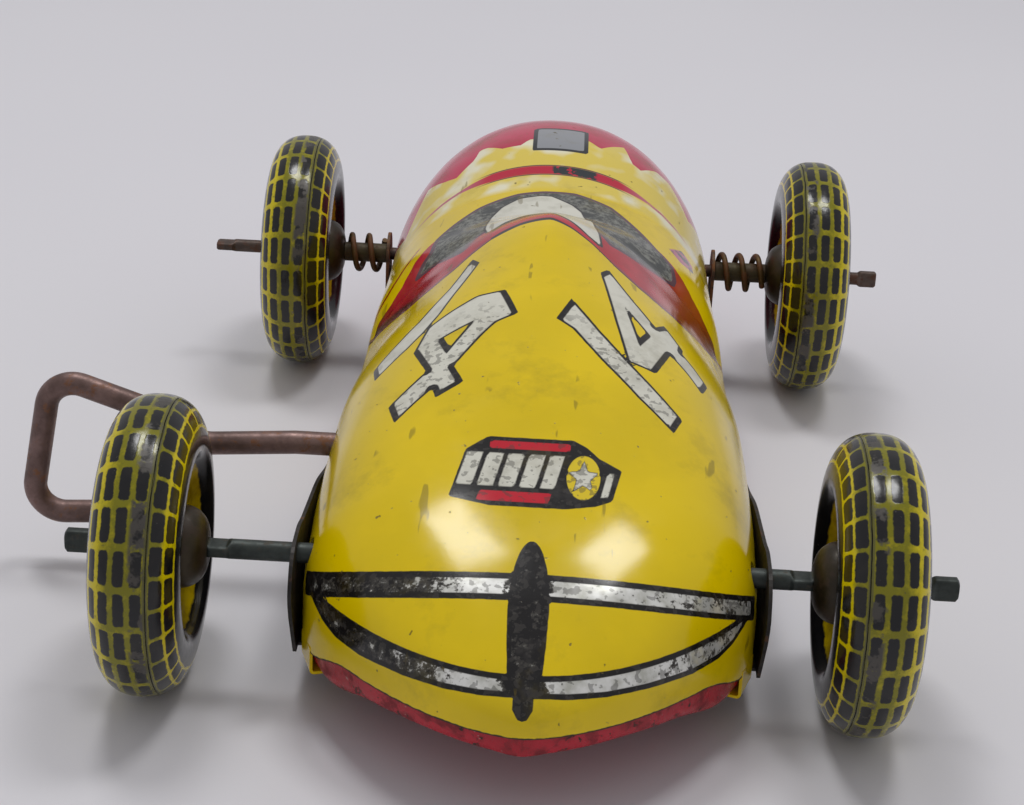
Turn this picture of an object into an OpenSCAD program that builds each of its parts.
// Wind-up tin racing car: pressed two-piece body, clockwork driving the front axle,
// hollow tin wheels. Millimetres, +Z up, nose towards -Y, wheels stand on Z = 0.

/* [Layout] */
// distance between the front and rear axles
wheelbase = 132; // [120:1:150]
// height of both axles above the ground
axle_z = 24; // [20:0.5:28]
// wheel outside diameter
wheel_d = 48; // [44:0.5:52]
// wheel width over the tyre
wheel_w = 14; // [12:0.5:18]
// centre of the left front wheel from the body centre plane
front_left_x = -60; // [-64:0.1:-56]
// centre of the right front wheel from the body centre plane
front_right_x = 53.2; // [50:0.1:60]
// centre of the left rear wheel from the body centre plane
rear_left_x = -52.5; // [-58:0.1:-50]
// centre of the right rear wheel from the body centre plane
rear_right_x = 54.3; // [50:0.1:60]

/* [Body shell] */
// sheet thickness of the pressed body
sheet = 0.5; // [0.3:0.05:0.8]
// nose length ahead of the front axle
nose_len = 36.7; // [30:0.1:42]
// start of the rounded tail behind the front axle
tail_y = 128; // [115:1:140]
// length of the rounded tail
tail_len = 53; // [40:1:60]
// half width of the shell at the front axle
half_front = 36.3; // [32:0.1:38]
// greatest half width of the shell
half_max = 36.7; // [32:0.1:38]
// half width of the shell at the start of the tail
half_tail = 33.8; // [28:0.1:36]
// height where the side skirt becomes the rounded top
shoulder_z = 16; // [14:0.5:20]
// height of the skirt's lower edge along the sides
skirt_z = 11; // [9:0.5:15]
// hood height above the front axle
hood_z = 38.5; // [34:0.5:42]
// height of the cowl crest
crest_z = 54; // [48:0.5:58]
// distance of the cowl crest behind the front axle
crest_y = 77; // [70:1:85]
// height of the dip in the cockpit
dip_z = 47.5; // [42:0.5:52]
// height of the tail hump
hump_z = 52; // [45:0.1:55]

/* [Base pan] */
// height of the pan's flat underside
pan_z = 7.5; // [6:0.5:10]
// gap between the pan wall and the inside of the shell
pan_gap = 0.3; // [0.2:0.05:0.6]
// height that the pan wall reaches up inside the shell
pan_lap = 2; // [2:0.5:5]

// length of the flat pad pressed down out of the pan
pad_len = 56; // [40:1:60]
// width of the pad
pad_w = 44; // [20:1:50]
// height of the pad's flat underside
pad_z = 5.5; // [4.5:0.1:6]

/* [Axles and brackets] */
// front axle wire diameter
front_axle_d = 3.25; // [2.5:0.05:4]
// left end of the front axle
front_axle_x0 = -74; // [-78:0.1:-68]
// right end of the front axle
front_axle_x1 = 67.4; // [64:0.1:74]
// rear axle wire diameter
rear_axle_d = 2.64; // [2:0.02:3.5]
// left end of the rear axle
rear_axle_x0 = -70.9; // [-74:0.1:-64]
// right end of the rear axle
rear_axle_x1 = 68.9; // [64:0.1:74]
// outer face of each front bracket ear from the centre plane
front_ear_x = 37.6; // [37:0.1:40]
// outer face of each rear bracket ear from the centre plane
rear_ear_x = 34.6; // [34:0.1:37]
// bracket sheet thickness
bracket_t = 0.6; // [0.5:0.1:1]
// radial running clearance of shafts in their holes
run_fit = 0.05; // [0.02:0.01:0.1]
// spacer spring wire diameter
coil_wire = 1.2; // [0.8:0.1:1.6]
// spacer spring outside diameter
coil_od = 8.3; // [6:0.1:10]
// distance between the turns of a spacer spring
coil_pitch = 3.6; // [2:0.1:6]
// outside diameter of the sleeve inside each spacer spring
sleeve_d = 4; // [3.4:0.1:5]

/* [Clockwork] */
// winding arbor position behind the front axle
arbor_y = 36.2; // [34:0.1:38]
// winding arbor height
arbor_z = 25.5; // [24:0.1:28]
// winding arbor radius
arbor_r = 2.4; // [2:0.1:3]
// left motor plate, inner face
plate_left_x = -12.2; // [-16:0.1:-10]
// right motor plate, inner face
plate_right_x = 7; // [5:0.1:12]
// motor plate thickness
plate_t = 0.8; // [0.5:0.1:1.2]
// great wheel teeth
great_n = 40; // [30:1:60]
// second pinion teeth
pinion_n = 10; // [8:1:14]
// second wheel teeth
second_n = 30; // [24:1:40]
// front axle pinion teeth
axle_n = 14; // [10:1:18]
// module of the great wheel and second pinion
module_1 = 0.8; // [0.6:0.05:1]
// module of the second wheel and axle pinion
module_2 = 0.75; // [0.6:0.05:1]
// ratchet teeth
ratchet_n = 12; // [8:1:16]
// mainspring turns
spring_turns = 8; // [5:1:12]
// mainspring strip width
spring_w = 7.4; // [5:0.1:9]
// mainspring strip thickness
spring_t = 0.4; // [0.3:0.05:0.6]

/* [Key] */
// key wire diameter
key_wire = 4.06; // [3:0.02:5]
// outermost reach of the key's centre line from the body centre plane
key_reach = 87.8; // [80:0.1:92]
// bend radius of the key's corners
key_bend = 5; // [4:0.5:8]

/* [Hidden] */
$fn = 48;
wheel_r = wheel_d / 2;
nose_cut = 2;
nose_plan = 1.6;
tail_cut = 2;
y_first = -nose_len * cos(nose_cut);
y_last = tail_y + tail_len * cos(tail_cut);
x_mid = (rear_axle_x1 - key_reach - key_wire / 2) / 2;
y_mid = (y_first + y_last) / 2;
nose_steps = 14;
mid_steps = 22;
tail_steps = 14;
arc_steps = 28;

// gear geometry: the second arbor sits above the line from the great arbor to the axle
mesh_1 = module_1 * (great_n + pinion_n) / 2;
mesh_2 = module_2 * (second_n + axle_n) / 2;
span = norm([arbor_y, arbor_z - axle_z]);
span_dir = atan2(axle_z - arbor_z, -arbor_y);
bend_at_arbor = acos((mesh_1 * mesh_1 + span * span - mesh_2 * mesh_2) / (2 * mesh_1 * span));
dir_1 = span_dir - bend_at_arbor;
second_y = arbor_y + mesh_1 * cos(dir_1);
second_z = arbor_z + mesh_1 * sin(dir_1);
dir_2 = atan2(axle_z - second_z, -second_y);
great_turn = dir_1;
pinion_turn = dir_1 + 180 + 180 / pinion_n;
second_turn = dir_2;
axle_turn = dir_2 + 180 + 180 / axle_n;
second_r = 1.2;
hub_out = 1.8;
hub_r = 6.7;

// profiles along the body: [distance behind the front axle, value]
spine_line = [
  [-nose_len, 28], [0, hood_z], [30, hood_z + 7.5], [60, crest_z - 2.2], [crest_y, crest_z],
  [crest_y + 9, crest_z - 2], [crest_y + 21, dip_z], [crest_y + 33, dip_z],
  [wheelbase, hump_z - 0.6], [150, hump_z], [tail_y + tail_len, 46]
];
half_line = [
  [-nose_len, half_front], [0, half_front], [20, half_max], [50, half_max + 0.1],
  [90, half_tail + 1.4], [tail_y, half_tail], [tail_y + tail_len, half_tail]
];
power_line = [
  [-nose_len, 2.7], [0, 2.7], [40, 2.2], [crest_y, 1.5], [crest_y + 7, 1.55],
  [crest_y + 21, 2.1], [tail_y + tail_len, 2.1]
];
skirt_line = [
  [-nose_len, 15.6], [-30, 15.6], [-20, 15.2], [-8, skirt_z], [100, skirt_z],
  [150, 12.5], [175, 15.5], [tail_y + tail_len, shoulder_z]
];
pan_line = [
  [-nose_len, 12.2], [-30, 12], [-22, 11], [-12, pan_z + 0.4], [0, pan_z], [140, pan_z],
  [155, 9.2], [172, 12.5], [tail_y + tail_len, 14.5]
];

// shape-preserving cubic through a list of [x, value] points
function rise(p, i) = (p[i + 1][1] - p[i][1]) / (p[i + 1][0] - p[i][0]);
function gap(p, i) = p[i + 1][0] - p[i][0];
function inner_slope(p, i, a, b, ha, hb) =
  a * b <= 0 ? 0 : 3 * (ha + hb) / ((2 * hb + ha) / a + (hb + 2 * ha) / b);
function slope(p, i) =
  i == 0 ? rise(p, 0)
  : i == len(p) - 1 ? rise(p, i - 1)
  : inner_slope(p, i, rise(p, i - 1), rise(p, i), gap(p, i - 1), gap(p, i));
function seg(p, x, i = 0) = i >= len(p) - 2 || x < p[i + 1][0] ? i : seg(p, x, i + 1);
function hermite(t, h, v0, v1, s0, s1) =
  v0 * (1 + 2 * t) * (1 - t) * (1 - t) + s0 * h * t * (1 - t) * (1 - t)
  + v1 * t * t * (3 - 2 * t) + s1 * h * t * t * (t - 1);
function along(p, x) =
  let (i = seg(p, x), h = gap(p, i), t = (x - p[i][0]) / h)
  hermite(t, h, p[i][1], p[i + 1][1], slope(p, i), slope(p, i + 1));

// body form: in is how far inside the outer surface
function cap(t, m) = pow(max(0, 1 - pow(max(0, t), m)), 1 / m);
function end_t(y, in) =
  y < 0 ? -y / (nose_len - in) : y > tail_y ? (y - tail_y) / (tail_len - in) : 0;
function half_at(y, in) =
  (along(half_line, y) - in) * cap(end_t(y, in), y < 0 ? nose_plan : 2);
function top_at(y, in) =
  shoulder_z + (along(spine_line, y) - in - shoulder_z) * cap(end_t(y, in), y < 0 ? 2.3 : 2.2);
function row_y(i, in) =
  i <= nose_steps
  ? -(nose_len - in) * cos(nose_cut + (90 - nose_cut) * i / nose_steps)
  : i <= nose_steps + mid_steps
  ? tail_y * (i - nose_steps) / mid_steps
  : tail_y + (tail_len - in)
    * sin((90 - tail_cut) * (i - nose_steps - mid_steps) / tail_steps);
function arc_pt(w, h, p, a) =
  [-w * sign(cos(a)) * pow(abs(cos(a)), 2 / p), shoulder_z + (h - shoulder_z) * pow(sin(a), 2 / p)];
function shell_row(y, in) =
  let (w = half_at(y, in), h = top_at(y, in), p = along(power_line, y), e = along(skirt_line, y))
  concat(
    [[-w, y, e]],
    [for (j = [0:arc_steps]) let (q = arc_pt(w, h, p, 180 * j / arc_steps)) [q[0], y, q[1]]],
    [[w, y, e]]
  );
function pan_row(y, in, up) =
  let (w = half_at(y, in), b = along(pan_line, y) + up, c = min(2.2, w * 0.4),
       t = along(skirt_line, y) + pan_lap)
  [
    [-w, y, t], [-w, y, b + c], [-w + 0.3 * c, y, b + 0.3 * c], [-w + c, y, b], [0, y, b],
    [w - c, y, b], [w - 0.3 * c, y, b + 0.3 * c], [w, y, b + c], [w, y, t]
  ];

// faces of an open skin: rows of n points, outer skin first, then the inner skin
function skin_faces(rows, n) =
  let (b = rows * n)
  concat(
    [for (i = [0:rows - 2], j = [0:n - 2]) [i * n + j, (i + 1) * n + j, (i + 1) * n + j + 1]],
    [for (i = [0:rows - 2], j = [0:n - 2]) [i * n + j, (i + 1) * n + j + 1, i * n + j + 1]],
    [for (i = [0:rows - 2], j = [0:n - 2])
      [b + i * n + j, b + (i + 1) * n + j + 1, b + (i + 1) * n + j]],
    [for (i = [0:rows - 2], j = [0:n - 2])
      [b + i * n + j, b + i * n + j + 1, b + (i + 1) * n + j + 1]],
    [for (i = [0:rows - 2]) [i * n, b + i * n, b + (i + 1) * n]],
    [for (i = [0:rows - 2]) [i * n, b + (i + 1) * n, (i + 1) * n]],
    [for (i = [0:rows - 2]) [i * n + n - 1, b + (i + 1) * n + n - 1, b + i * n + n - 1]],
    [for (i = [0:rows - 2]) [i * n + n - 1, (i + 1) * n + n - 1, b + (i + 1) * n + n - 1]],
    [for (j = [1:n - 2]) [0, j, j + 1]],
    [for (j = [1:n - 2]) [b, b + j + 1, b + j]],
    [for (j = [1:n - 2]) [b - n, b - n + j + 1, b - n + j]],
    [for (j = [1:n - 2]) [2 * b - n, 2 * b - n + j, 2 * b - n + j + 1]],
    [[0, n - 1, b + n - 1], [0, b + n - 1, b]],
    [[b - n, 2 * b - n, 2 * b - 1], [b - n, 2 * b - 1, b - 1]]
  );

// extrudes a [y, z] outline along +X from x0
module side_plate(x0, t) {
  translate([x0, 0, 0]) rotate([90, 0, 90]) linear_extrude(height = t) children();
}

// cylinder along +X
module rod(x0, x1, r, y = 0, z = axle_z) {
  translate([x0, y, z]) rotate([0, 90, 0]) cylinder(h = x1 - x0, r = r);
}

module in_frame() {
  translate([-x_mid, -y_mid, 0]) children();
}

rows = nose_steps + mid_steps + tail_steps + 1;

// ---- body -------------------------------------------------------------------

module shell_skin() {
  pts = concat(
    [for (i = [0:rows - 1]) each shell_row(row_y(i, 0), 0)],
    [for (i = [0:rows - 1]) each shell_row(row_y(i, sheet), sheet)]
  );
  polyhedron(points = pts, faces = skin_faces(rows, arc_steps + 3), convexity = 8);
}

// tab folded from the skirt round the edge of the pan, lying along the side of the shell
module shell_tab(y, s) {
  lean = atan((half_at(y + 6, 0) - half_at(y, 0)) / 6);
  translate([s * half_at(y + 3, 0), y, pan_z - sheet - 0.05])
    translate([0, 3, 0]) rotate([0, 0, -s * lean]) {
      translate([s > 0 ? -sheet : 0, -3, 0]) cube([sheet, 6, skirt_z - pan_z + 1.5]);
      translate([s > 0 ? -3.5 : 0, -3, 0]) cube([3.5, 6, sheet]);
    }
}

module body_shell() {
  color([0.80, 0.67, 0.03])
  in_frame()
  difference() {
    union() {
      shell_skin();
      for (s = [-1, 1]) {
        shell_tab(-9, s);
        shell_tab(68, s);
      }
    }
    // slots that let the shell drop over both axles
    translate([-40, -2.6, 0]) cube([80, 5.2, axle_z]);
    rod(-40, 40, 2.6);
    translate([-40, wheelbase - 2.3, 0]) cube([80, 4.6, axle_z]);
    rod(-40, 40, 2.3, wheelbase);
    // hole for the key shank
    rod(-40, -20, key_wire / 2 + 0.7, arbor_y, arbor_z);
  }
}

pad_y = 54;

// shallow flat-bottomed panel that stiffens the pan's floor
module pad(in, z0, z1) {
  translate([in - pad_w / 2, pad_y + in, z0]) cube([pad_w - 2 * in, pad_len - 2 * in, z1 - z0]);
}

module base_pan() {
  inset = sheet + pan_gap;
  pts = concat(
    [for (i = [0:rows - 1]) each pan_row(row_y(i, inset + sheet), inset + sheet, sheet)],
    [for (i = [0:rows - 1]) each pan_row(row_y(i, inset), inset, 0)]
  );
  color([0.60, 0.10, 0.12])
  in_frame()
  difference() {
    union() {
      polyhedron(points = pts, faces = skin_faces(rows, 9), convexity = 8);
      pad(0, pad_z, pan_z + sheet / 2);
    }
    pad(sheet, pad_z + sheet, pan_z + 2);
    for (p = rivet_spots) translate([p[0], p[1], 0]) cylinder(h = 12, r = rivet_hole);
  }
}

// front bracket rivets, rear bracket rivets and the motor's four foot rivets, [x, y]
front_rivets = [for (x = [-24, 24]) [x, 8]];
rear_rivets = [for (x = [-22, 22]) [x, wheelbase]];
foot_ys = [22, 44];
foot_xs = [plate_left_x - plate_t - 4, plate_right_x + plate_t + 4];
foot_rivets = [for (x = foot_xs, y = foot_ys) [x, y]];
rivet_spots = concat(front_rivets, rear_rivets, foot_rivets);
rivet_hole = 1.25;

// upper edge of a front bracket ear, [y, z], from its rounded front down to the tail of the ear
ear_line = [
  [-8.8, 21.5], [-7, 25], [-3, 27.2], [2, 27.3], [8, 26], [16, 24.6], [28, 22.4], [42, 18],
  [60, 13.2]
];
ear_steps = 36;
function ear_y(i) = -8.8 + 68.8 * pow(i / ear_steps, 1.6);
ear_outline = concat(
  [[-2, pan_z - bracket_t], [-5, 12], [-7.6, 16.5], [-8.7, 19.5]],
  [for (i = [0:ear_steps]) [ear_y(i), along(ear_line, ear_y(i))]],
  [[60, pan_z - bracket_t]]
);

module front_bracket() {
  color([0.22, 0.20, 0.19])
  in_frame()
  difference() {
    union() {
      for (s = [-1, 1])
        side_plate(s > 0 ? front_ear_x - bracket_t : -front_ear_x, bracket_t)
          polygon(ear_outline);
      translate([-front_ear_x, 0, pan_z - bracket_t])
        cube([2 * front_ear_x, 16, bracket_t - 0.02]);
    }
    rod(-40, 40, front_axle_d / 2 + run_fit + 0.02);
    for (p = front_rivets) translate([p[0], p[1], 0]) cylinder(h = 12, r = rivet_hole);
  }
}

module rear_bracket() {
  color([0.30, 0.20, 0.13])
  in_frame()
  difference() {
    union() {
      for (s = [-1, 1]) {
        side_plate(s > 0 ? rear_ear_x - bracket_t : -rear_ear_x, bracket_t)
          translate([wheelbase - 4.5, pan_z - bracket_t])
            square([9, axle_z - pan_z + bracket_t]);
        rod(s > 0 ? rear_ear_x - bracket_t : -rear_ear_x,
            s > 0 ? rear_ear_x : -rear_ear_x + bracket_t, 4.5, wheelbase);
      }
      translate([-rear_ear_x, wheelbase - 4.5, pan_z - bracket_t])
        cube([2 * rear_ear_x, 9, bracket_t - 0.02]);
    }
    rod(-40, 40, rear_axle_d / 2 + run_fit, wheelbase);
    for (p = rear_rivets) translate([p[0], p[1], 0]) cylinder(h = 12, r = rivet_hole);
  }
}

// rivet with a low domed head under the strip and a flat burr inside the pan
module rivet(x, y, z0, z1) {
  translate([x, y, z0]) cylinder(h = z1 - z0, r = 1.2);
  translate([x, y, z0 - 0.7]) cylinder(h = 0.7, r1 = 1.6, r2 = 2.3);
  translate([x, y, z1]) cylinder(h = 0.5, r = 1.9);
}

module bracket_rivets() {
  color([0.45, 0.42, 0.38])
  in_frame()
  for (p = concat(front_rivets, rear_rivets)) rivet(p[0], p[1], pan_z - bracket_t, pan_z + sheet);
}

// ---- wheels -----------------------------------------------------------------

// moves each point of a path sideways by d, to give the other face of the sheet
function norm_at(p, i) =
  let (a = p[max(0, i - 1)], b = p[min(len(p) - 1, i + 1)], v = b - a)
  [v[1], -v[0]] / norm(v);
function shifted(p, d) = [for (i = [0:len(p) - 1]) p[i] + d * norm_at(p, i)];
function turned_round(p) = [for (i = [len(p) - 1:-1:0]) p[i]];

wall_r = 15.5;
seam_x = -3;
side_x = wheel_w / 2;
function tread_r(x) =
  wall_r + (wheel_r - wall_r) * pow(max(0, 1 - pow(abs(x) / side_x, 2.4)), 1 / 2.4);
function tread_x(a) = side_x * pow(abs(sin(a)), 0.9) * sign(sin(a));

// section of the outer pressing, [radius, x], x positive away from the car
outer_path = concat(
  [for (a = [0:6:84]) let (x = max(seam_x + 0.05, tread_x(a))) if (x > 0 || a == 0) [tread_r(x), x]],
  [[wall_r, side_x], [14.8, side_x - 0.4], [14.1, side_x - 1.6], [13.2, side_x - 2.5],
   [11.8, side_x - 3], [8, side_x - 3.2], [6.2, side_x - 2.6], [5, side_x - 1.8],
   [3.2, side_x - 1.4], [front_axle_d / 2 + 0.25, side_x - 1.4]]
);
outer_start = [[tread_r(seam_x), seam_x + 0.05], [tread_r(seam_x / 2), seam_x / 2]];
inner_path = concat(
  [[tread_r(seam_x), seam_x - 0.05]],
  [for (a = [30:6:84]) let (x = -tread_x(a)) [tread_r(x), x]],
  [[wall_r, -side_x], [14.8, 0.4 - side_x], [14.1, 1.6 - side_x], [13.2, 2.5 - side_x],
   [11.8, 3 - side_x], [8, 3.1 - side_x], [hub_r - 0.4, 3.1 - side_x]]
);

// side is +1 for a wheel on the +X side and -1 for one on the -X side
module wheel_at(x, y, side) {
  translate([x, y, axle_z]) mirror([side > 0 ? 0 : 1, 0, 0]) rotate([0, 90, 0]) children();
}

module outer_pressing(x, y, side) {
  path = concat(outer_start, outer_path);
  wheel_at(x, y, side)
    rotate_extrude($fn = 96) polygon(concat(path, turned_round(shifted(path, -0.45))));
}

module inner_pressing(x, y, side) {
  wheel_at(x, y, side)
    rotate_extrude($fn = 96) polygon(concat(inner_path, turned_round(shifted(inner_path, 0.45))));
}

// turned hub: a dome towards the car, a barrel through the wheel
module hub(x, y, side, bore) {
  end = side_x + hub_out;
  wheel_at(x, y, side)
    rotate_extrude($fn = 64) polygon([
      [bore, -end], [2.6, -end], [4.4, -end + 0.5], [5.7, -end + 1.5], [hub_r - 0.2, -end + 3],
      [hub_r, -end + 4.6], [hub_r + 0.9, -end + 4.88],
      [hub_r + 0.9, 3.07 - side_x], [hub_r - 0.4, 3.07 - side_x], [hub_r - 0.4, 3.7 - side_x],
      [2.9, 3.7 - side_x], [2.9, side_x - 1.9], [bore, side_x - 1.9]
    ]);
}

module print_black() {
  color([0.09, 0.08, 0.07]) in_frame() children();
}

module front_left_tyre_outer() {
  print_black() outer_pressing(front_left_x, 0, -1);
}

module front_left_tyre_inner() {
  print_black() inner_pressing(front_left_x, 0, -1);
}

module front_left_hub() {
  color([0.62, 0.56, 0.20]) in_frame() hub(front_left_x, 0, -1, front_axle_d / 2);
}

module front_right_tyre_outer() {
  print_black() outer_pressing(front_right_x, 0, 1);
}

module front_right_tyre_inner() {
  print_black() inner_pressing(front_right_x, 0, 1);
}

module front_right_hub() {
  color([0.62, 0.56, 0.20]) in_frame() hub(front_right_x, 0, 1, front_axle_d / 2);
}

module rear_left_tyre_outer() {
  print_black() outer_pressing(rear_left_x, wheelbase, -1);
}

module rear_left_tyre_inner() {
  print_black() inner_pressing(rear_left_x, wheelbase, -1);
}

module rear_left_hub() {
  color([0.62, 0.56, 0.20]) in_frame() hub(rear_left_x, wheelbase, -1, rear_axle_d / 2 + run_fit);
}

module rear_right_tyre_outer() {
  print_black() outer_pressing(rear_right_x, wheelbase, 1);
}

module rear_right_tyre_inner() {
  print_black() inner_pressing(rear_right_x, wheelbase, 1);
}

module rear_right_hub() {
  color([0.62, 0.56, 0.20]) in_frame() hub(rear_right_x, wheelbase, 1, rear_axle_d / 2 + run_fit);
}

// ---- axles ------------------------------------------------------------------

// wire axle with a nicked flat standing proud at x, to grip a hub or stop it coming off
module nick(x, y, w, wide, thick) {
  translate([x - w / 2, y - wide / 2, axle_z - thick / 2]) cube([w, wide, thick]);
}

module front_axle() {
  lx = front_left_x + side_x + hub_out;
  rx = front_right_x - side_x - hub_out;
  color([0.19, 0.21, 0.20])
  in_frame() {
    rod(front_axle_x0, front_axle_x1, front_axle_d / 2);
    nick(lx + 1.6, 0, 2.6, 4.1, 1.9);
    nick(rx - 1.6, 0, 2.6, 4.1, 1.9);
    nick(front_axle_x0 + 2, 0, 3.2, 4, 2);
    nick(front_axle_x1 - 2, 0, 3.2, 4, 2);
  }
}

module rear_axle() {
  color([0.25, 0.19, 0.15])
  in_frame() {
    rod(rear_axle_x0, rear_axle_x1, rear_axle_d / 2, wheelbase);
    nick(rear_left_x - side_x + 0.6, wheelbase, 1.2, 1.6, 3.6);
    nick(rear_right_x + side_x - 0.6, wheelbase, 1.2, 3.6, 1.6);
    nick(rear_axle_x0 + 1.6, wheelbase, 3.2, 3.5, 1.7);
    nick(rear_axle_x1 - 1.6, wheelbase, 3.2, 1.7, 3.5);
  }
}

// open coil round the rear axle: rings of points swept along a helix
coil_sides = 8;
coil_rings = 20;
function coil_pt(u, turns, len, k) =
  let (a = 360 * turns * u, c = (coil_od - coil_wire) / 2, b = 360 * k / coil_sides,
       rr = c + coil_wire / 2 * cos(b))
  [coil_wire / 2 + (len - coil_wire) * u + coil_wire / 2 * sin(b), rr * cos(a), rr * sin(a)];

module coil(x0, x1) {
  turns = (x1 - x0 - coil_wire) / coil_pitch;
  n = round(coil_rings * turns);
  pts = [for (i = [0:n], k = [0:coil_sides - 1]) coil_pt(i / n, turns, x1 - x0, k)];
  s = coil_sides;
  faces = concat(
    [for (i = [0:n - 1], k = [0:s - 1]) [i * s + k, i * s + (k + 1) % s, (i + 1) * s + (k + 1) % s]],
    [for (i = [0:n - 1], k = [0:s - 1]) [i * s + k, (i + 1) * s + (k + 1) % s, (i + 1) * s + k]],
    [[for (k = [s - 1:-1:0]) k]],
    [[for (k = [0:s - 1]) n * s + k]]
  );
  translate([x0, wheelbase, axle_z]) polyhedron(points = pts, faces = faces, convexity = 8);
}

module rear_spring_left() {
  color([0.38, 0.27, 0.12])
  in_frame() coil(rear_left_x + side_x + hub_out + 0.1, -rear_ear_x - 0.3);
}

module rear_spring_right() {
  color([0.38, 0.27, 0.12])
  in_frame() coil(rear_ear_x + 0.3, rear_right_x - side_x - hub_out - 0.1);
}

// plain tube on the rear axle inside a spacer spring
module sleeve(x0, x1) {
  color([0.25, 0.19, 0.10])
  in_frame()
  difference() {
    rod(x0, x1, sleeve_d / 2, wheelbase);
    rod(x0 - 1, x1 + 1, rear_axle_d / 2 + 0.02, wheelbase);
  }
}

module rear_sleeve_left() {
  sleeve(rear_left_x + side_x + hub_out + 0.1, -rear_ear_x - 0.3);
}

module rear_sleeve_right() {
  sleeve(rear_ear_x + 0.3, rear_right_x - side_x - hub_out - 0.1);
}

// ---- clockwork --------------------------------------------------------------

// outline of a gear: n teeth of module m with room to run, turned by a degrees
function polar(r, a) = [r * cos(a), r * sin(a)];
function gear_outline(n, m, a) =
  let (r = m * n / 2, out = r + 0.85 * m, root = r - 1.15 * m, p = 360 / n)
  [for (i = [0:n - 1], q = [
      [root, -0.30], [r, -0.215], [out, -0.10], [out, 0.10], [r, 0.215], [root, 0.30]
    ]) polar(q[0], a + (i + q[1]) * p)];

module gear(x0, t, y, z, n, m, a, bore) {
  side_plate(x0, t) translate([y, z]) difference() {
    polygon(gear_outline(n, m, a));
    circle(r = bore);
  }
}

plate_outline = [
  [-8, 19], [-8, 29.5], [-5.5, 33.2], [0, 34.6], [8, 36.5], [22, 40.5], [36, 42.3], [50, 41.5], [57, 38],
  [57, 12], [52, 8.1], [6, 8.1], [-4, 14]
];
pillar_spots = [[-4, 31], [53, 37], [53, 13], [8, 12]];
pillar_r = 1.6;

// motor plate with a foot bent out to be riveted to the pan; side +1 is the right plate
module motor_plate(x_in, side) {
  x0 = side > 0 ? x_in : x_in - plate_t;
  foot_x = side > 0 ? x_in : x_in - plate_t - 7;
  difference() {
    union() {
      side_plate(x0, plate_t) polygon(plate_outline);
      for (y = foot_ys)
        translate([foot_x, y - 4, pan_z + sheet + 0.1]) cube([7 + plate_t, 8, plate_t]);
    }
    rod(-60, 60, front_axle_d / 2 + run_fit);
    rod(-60, 60, arbor_r + run_fit, arbor_y, arbor_z);
    rod(-60, 60, second_r + run_fit, second_y, second_z);
    for (p = pillar_spots) rod(-60, 60, pillar_r - 0.5, p[0], p[1]);
    for (y = foot_ys)
      translate([side > 0 ? foot_xs[1] : foot_xs[0], y, 0]) cylinder(h = 20, r = rivet_hole);
    // lightening window
    side_plate(-60, 120) translate([45.5, 27]) circle(r = 4);
  }
}

module motor_plate_left() {
  color([0.55, 0.53, 0.50]) in_frame() motor_plate(plate_left_x, -1);
}

module motor_plate_right() {
  color([0.55, 0.53, 0.50]) in_frame() motor_plate(plate_right_x, 1);
}

// shouldered pillars that hold the plates apart, ends riveted over
module motor_pillars() {
  color([0.50, 0.42, 0.22])
  in_frame()
  for (p = pillar_spots) {
    rod(plate_left_x, plate_right_x, pillar_r, p[0], p[1]);
    rod(plate_left_x - plate_t - 0.6, plate_right_x + plate_t + 0.6, pillar_r - 0.5, p[0], p[1]);
    rod(plate_left_x - plate_t - 0.7, plate_left_x - plate_t, pillar_r - 0.2, p[0], p[1]);
    rod(plate_right_x + plate_t, plate_right_x + plate_t + 0.7, pillar_r - 0.2, p[0], p[1]);
  }
}

module motor_rivets() {
  color([0.45, 0.42, 0.38])
  in_frame()
  for (p = foot_rivets) rivet(p[0], p[1], pan_z, pan_z + sheet + 0.1 + plate_t);
}

spring_x0 = plate_left_x + 0.7;
spring_in = arbor_r + 0.12;
spring_out = 14.6;
function coil_r(a) = spring_in + (spring_out - spring_in) * a / (360 * spring_turns);
function spiral(extra) =
  [for (a = [0:15:360 * spring_turns]) polar(coil_r(a) + extra, a + 60)];

// flat strip wound from the arbor out to its anchor post
module mainspring() {
  color([0.30, 0.30, 0.33])
  in_frame()
  side_plate(spring_x0, spring_w) translate([arbor_y, arbor_z]) {
    polygon(concat(spiral(0), turned_round(spiral(spring_t))));
  }
}

module spring_post() {
  a = 60 + 6;
  color([0.50, 0.42, 0.22])
  in_frame() {
    rod(plate_left_x, spring_x0 + spring_w + 0.3, 0.9,
        arbor_y + (spring_out + spring_t + 0.95) * cos(a),
        arbor_z + (spring_out + spring_t + 0.95) * sin(a));
  }
}

ratchet_x = spring_x0 + spring_w + 0.5;
great_x = ratchet_x + 1.2;
ratchet_tip = 6.5;
ratchet_root = 4.9;

// cross pin through the arbor's socket and the key wire
pin_x = plate_left_x - plate_t - 6;

module winding_arbor() {
  color([0.48, 0.46, 0.44])
  in_frame()
  difference() {
    union() {
      rod(plate_left_x - plate_t - 1, plate_right_x + plate_t + 1.2, arbor_r, arbor_y, arbor_z);
      rod(plate_left_x - plate_t - 9, plate_left_x - plate_t - 0.6, 3.4, arbor_y, arbor_z);
    }
    rod(plate_left_x - plate_t - 10, plate_left_x - plate_t - 2, key_wire / 2 + 0.01,
        arbor_y, arbor_z);
    translate([pin_x, arbor_y, arbor_z]) cylinder(h = 12, r = 0.7, center = true);
  }
}

module key_pin() {
  color([0.40, 0.36, 0.33])
  in_frame()
  translate([pin_x, arbor_y, arbor_z])
    cylinder(h = 7.6, r = 0.68, center = true, $fn = 24);
}

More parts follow.
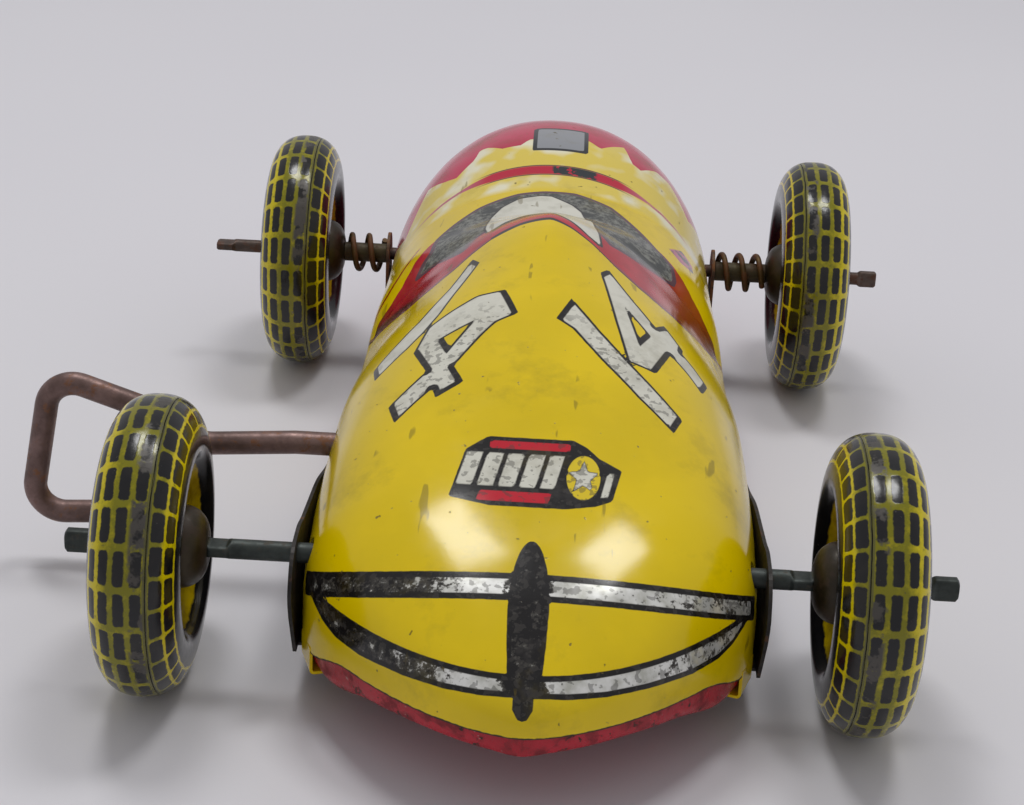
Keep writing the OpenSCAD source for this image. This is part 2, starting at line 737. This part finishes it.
module ratchet_wheel() {
  color([0.60, 0.50, 0.25])
  in_frame()
  side_plate(ratchet_x, 0.8) translate([arbor_y, arbor_z]) difference() {
    polygon([for (i = [0:ratchet_n - 1], q = [[ratchet_root, 0], [ratchet_tip, 0.06]])
      polar(q[0], 91 + (i + q[1]) * 360 / ratchet_n)]);
    circle(r = arbor_r);
  }
}

module great_wheel() {
  color([0.66, 0.54, 0.25])
  in_frame()
  difference() {
    gear(great_x, 1, arbor_y, arbor_z, great_n, module_1, great_turn, arbor_r + run_fit);
    for (a = [30:60:330])
      rod(great_x - 1, great_x + 2, 2.6, arbor_y + 10.6 * cos(a + 27), arbor_z + 10.6 * sin(a + 27));
    rod(great_x - 1, great_x + 2, 0.8, arbor_y + click_at[0], arbor_z + click_at[1]);
  }
}

click_at = polar(10.2, 33);

// springy steel finger riveted to the great wheel, its tip against a ratchet tooth
module click_finger() {
  color([0.35, 0.36, 0.40])
  in_frame()
  side_plate(ratchet_x + 0.1, 0.8) translate([arbor_y, arbor_z]) difference() {
    union() {
      translate(click_at) circle(r = 1.7);
      polygon([
        polar(11.7, 36), polar(9.2, 62), polar(7.2, 84), polar(5.4, 89.6), polar(5.35, 84),
        polar(7.2, 70), polar(8.7, 40)
      ]);
    }
    translate(click_at) circle(r = 0.8);
  }
}

module click_rivet() {
  color([0.45, 0.42, 0.38])
  in_frame() {
    rod(ratchet_x - 0.2, great_x + 1.4, 0.8, arbor_y + click_at[0], arbor_z + click_at[1]);
    rod(ratchet_x - 0.4, ratchet_x + 0.1, 1.4, arbor_y + click_at[0], arbor_z + click_at[1]);
    rod(great_x + 1, great_x + 1.5, 1.4, arbor_y + click_at[0], arbor_z + click_at[1]);
  }
}

second_x = great_x + 3.2;

module second_arbor() {
  color([0.48, 0.46, 0.44])
  in_frame()
  rod(plate_left_x - plate_t - 0.5, plate_right_x + plate_t + 0.5, second_r, second_y, second_z);
}

module second_pinion() {
  color([0.66, 0.54, 0.25])
  in_frame()
  gear(great_x - 0.7, 2.4, second_y, second_z, pinion_n, module_1, pinion_turn, second_r);
}

module second_wheel() {
  color([0.66, 0.54, 0.25])
  in_frame()
  difference() {
    gear(second_x, 1, second_y, second_z, second_n, module_2, second_turn, second_r);
    for (a = [0:72:288])
      rod(second_x - 1, second_x + 2, 2, second_y + 6.6 * cos(a), second_z + 6.6 * sin(a));
  }
}

module axle_pinion() {
  color([0.66, 0.54, 0.25])
  in_frame()
  gear(second_x - 0.7, 2.4, 0, axle_z, axle_n, module_2, axle_turn, front_axle_d / 2);
}

// ---- key --------------------------------------------------------------------

function unit(v) = v / norm(v);
function turn_of(a, b) = atan2(a[0] * b[1] - a[1] * b[0], a * b);
function cut_at(p, i, r) =
  i == 0 || i == len(p) - 1 ? 0 : r * tan(abs(turn_of(p[i] - p[i - 1], p[i + 1] - p[i])) / 2);

// round wire along a path of points in the XY plane, bent at each with radius r
module bent_wire(p, r, wire_r) {
  for (i = [0:len(p) - 2]) {
    d = unit(p[i + 1] - p[i]);
    a = p[i] + cut_at(p, i, r) * d;
    b = p[i + 1] - cut_at(p, i + 1, r) * d;
    translate([a[0], a[1], 0]) rotate([0, 0, atan2(d[1], d[0])]) rotate([0, 90, 0])
      cylinder(h = norm(b - a), r = wire_r);
  }
  for (i = [1:len(p) - 2]) {
    d = unit(p[i] - p[i - 1]);
    t = turn_of(p[i] - p[i - 1], p[i + 1] - p[i]);
    s = t > 0 ? 1 : -1;
    a = p[i] - cut_at(p, i, r) * d;
    c = a + r * s * [-d[1], d[0]];
    start = atan2(a[1] - c[1], a[0] - c[0]);
    // the bend is a hair thinner than the straights, as bent wire is, and runs into both
    translate([c[0], c[1], 0]) rotate([0, 0, (t > 0 ? start : start + t) - 2])
      rotate_extrude(angle = abs(t) + 4) translate([r, 0]) circle(r = wire_r - 0.02);
  }
}

key_in = plate_left_x - plate_t - 2.1;
key_path = [
  [key_in, 0], [-42, 0], [-58.5, -1.2], [-64, 3.6], [3.7 - key_reach, 10.5],
  [-key_reach - 1, -16.4], [-72.5, -15.4], [-66.5, -7]
];

module winding_key() {
  color([0.30, 0.22, 0.21])
  in_frame()
  difference() {
    translate([0, arbor_y, arbor_z]) rotate([90, 0, 0])
      bent_wire(key_path, key_bend, key_wire / 2);
    translate([pin_x, arbor_y, arbor_z]) cylinder(h = 12, r = 0.7, center = true);
  }
}

body_shell();
base_pan();
front_bracket();
rear_bracket();
bracket_rivets();
motor_plate_left();
motor_plate_right();
motor_pillars();
motor_rivets();
mainspring();
spring_post();
winding_arbor();
key_pin();
ratchet_wheel();
great_wheel();
click_finger();
click_rivet();
second_arbor();
second_pinion();
second_wheel();
axle_pinion();
winding_key();
front_axle();
front_left_tyre_outer();
front_left_tyre_inner();
front_left_hub();
front_right_tyre_outer();
front_right_tyre_inner();
front_right_hub();
rear_axle();
rear_spring_left();
rear_spring_right();
rear_sleeve_left();
rear_sleeve_right();
rear_left_tyre_outer();
rear_left_tyre_inner();
rear_left_hub();
rear_right_tyre_outer();
rear_right_tyre_inner();
rear_right_hub();
